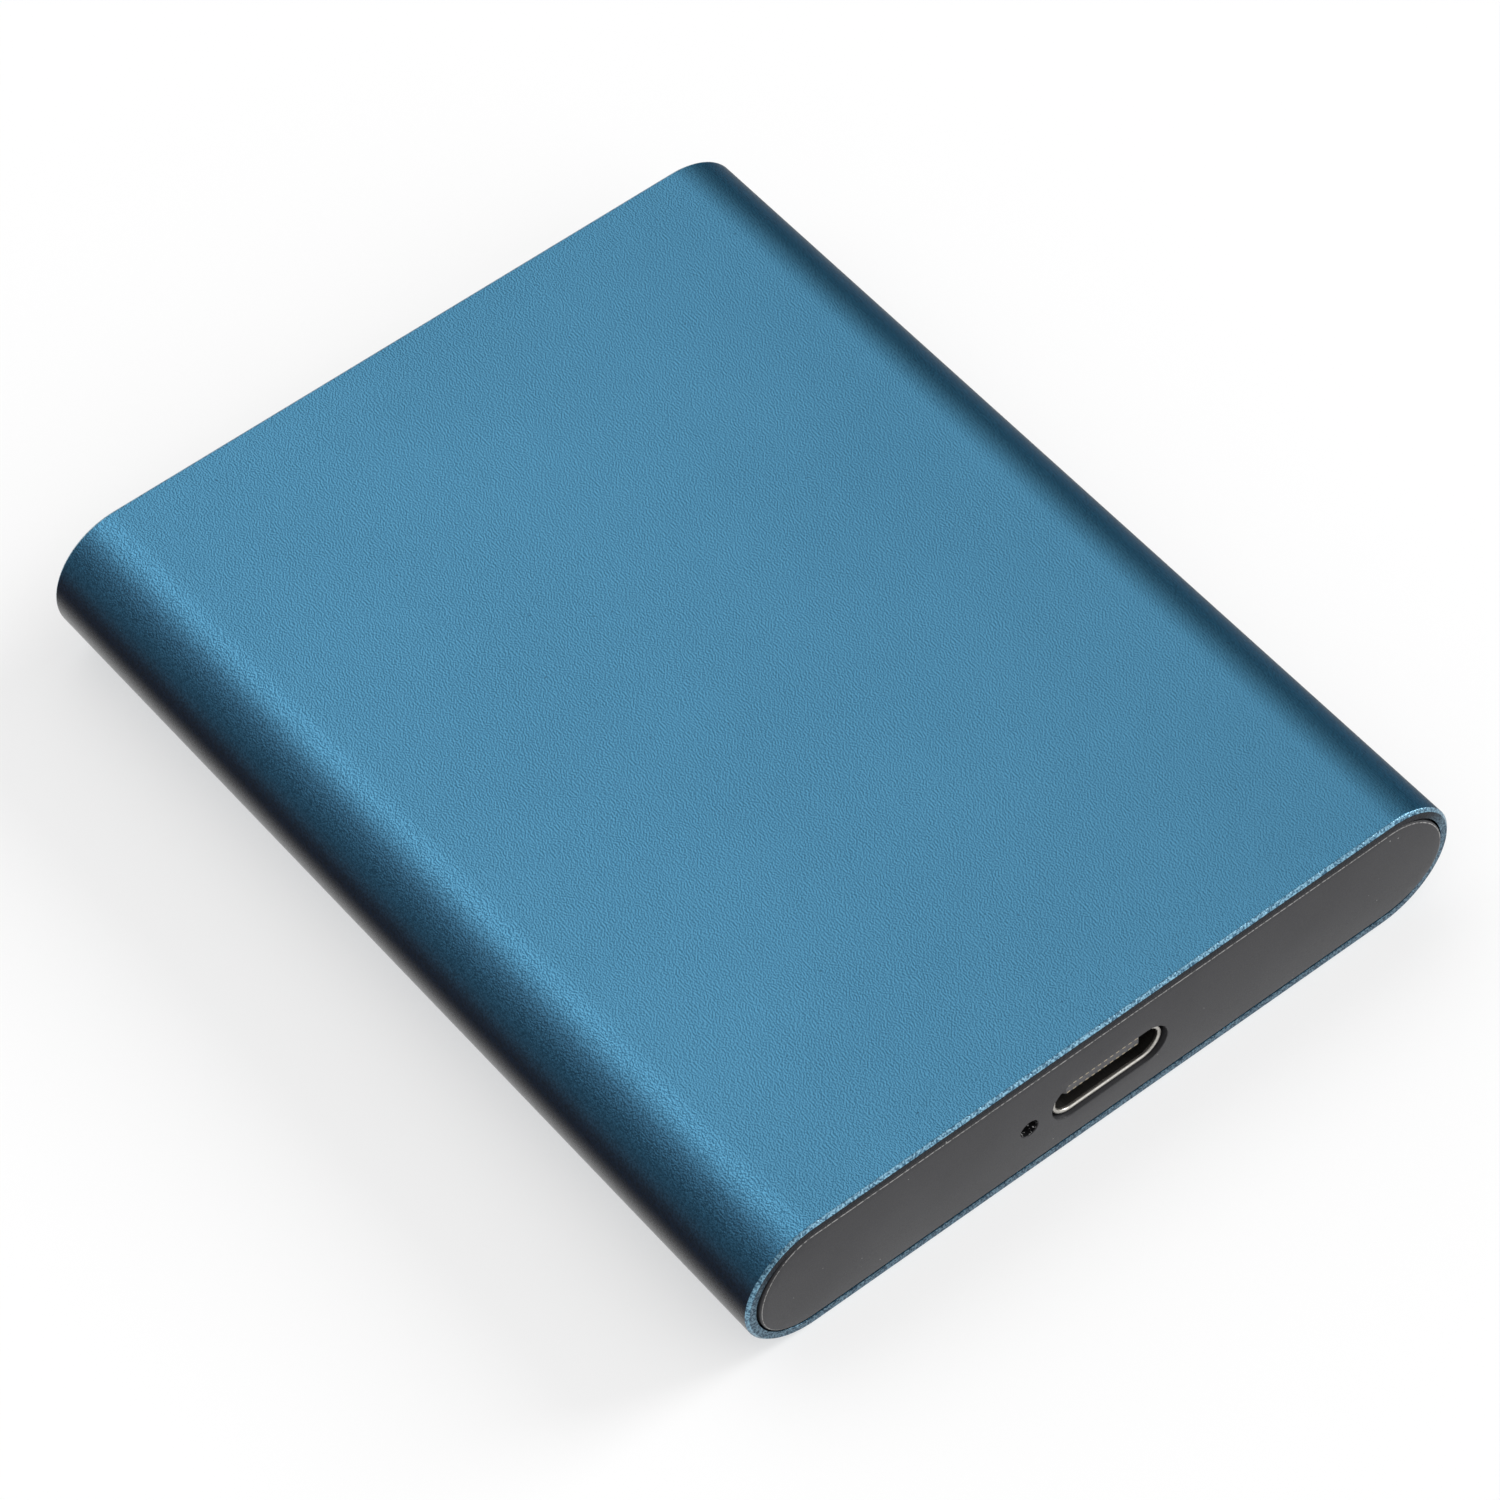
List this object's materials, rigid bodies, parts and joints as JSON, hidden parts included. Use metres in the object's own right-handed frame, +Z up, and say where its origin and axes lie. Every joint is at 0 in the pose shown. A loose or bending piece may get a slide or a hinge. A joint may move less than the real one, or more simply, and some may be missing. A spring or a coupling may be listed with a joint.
{
  "type": "portable solid state drive",
  "caption": "Pocket solid state drive: rounded aluminium sleeve closed by crowned plastic end caps, with a USB-C port and a status light hole in the front cap.",
  "frame": {"origin": "centre of the outline on the flat face that the drive lies on", "axes": "+X across the drive, +Y along it away from the port end, +Z up from the face it lies on"},
  "size_m": [0.0572, 0.0728, 0.0106],
  "materials": {
    "anodised_aluminium": "bead-blasted, blue anodised, bright cut rim chamfer",
    "cap_plastic": "fine satin grain, dark grey",
    "adhesive_tape": "die-cut black foam adhesive",
    "frame_plastic": "moulded black",
    "screw_steel": "zinc plated",
    "tray_plastic": "moulded black",
    "board_laminate": "green solder mask",
    "port_steel": "drawn stainless steel",
    "port_insulator": "moulded dark grey",
    "contact_gold": "gold flash",
    "clear_acrylic": "clear moulded",
    "led_package": "white package with a clear lens",
    "chip_epoxy": "black mould compound",
    "crystal_can": "nickel lid",
    "inductor_ferrite": "pressed ferrite, grey",
    "capacitor_ceramic": "tan fired ceramic",
    "resistor_ceramic": "black glazed top",
    "socket_plastic": "moulded black",
    "card_laminate": "blue solder mask",
    "standoff_brass": "turned",
    "silicone_pad": "soft grey silicone"
  },
  "bodies": {
    "root": {"housing_sleeve": "anodised_aluminium", "front_cap": "cap_plastic", "rear_cap": "cap_plastic", "front_cap_tape": "adhesive_tape", "rear_cap_tape": "adhesive_tape", "front_frame": "frame_plastic", "rear_frame": "frame_plastic", "front_frame_screws": "screw_steel", "rear_frame_screws": "screw_steel", "board_tray": "tray_plastic", "bridge_board": "board_laminate", "board_screws": "screw_steel", "usb_c_shell": "port_steel", "usb_c_insulator": "port_insulator", "usb_c_contacts": "contact_gold", "usb_c_mid_plate": "port_steel", "light_pipe": "clear_acrylic", "status_led": "led_package", "bridge_chip": "chip_epoxy", "firmware_chip": "chip_epoxy", "crystal": "crystal_can", "inductors": "inductor_ferrite", "bridge_capacitors": "capacitor_ceramic", "bridge_resistors": "resistor_ceramic", "m2_socket": "socket_plastic", "m2_socket_contacts": "contact_gold", "ssd_board": "card_laminate", "ssd_controller": "chip_epoxy", "nand_chips": "chip_epoxy", "ssd_capacitors": "capacitor_ceramic", "ssd_standoff": "standoff_brass", "ssd_screw": "screw_steel", "thermal_pad": "silicone_pad"}
  },
  "joints": []
}
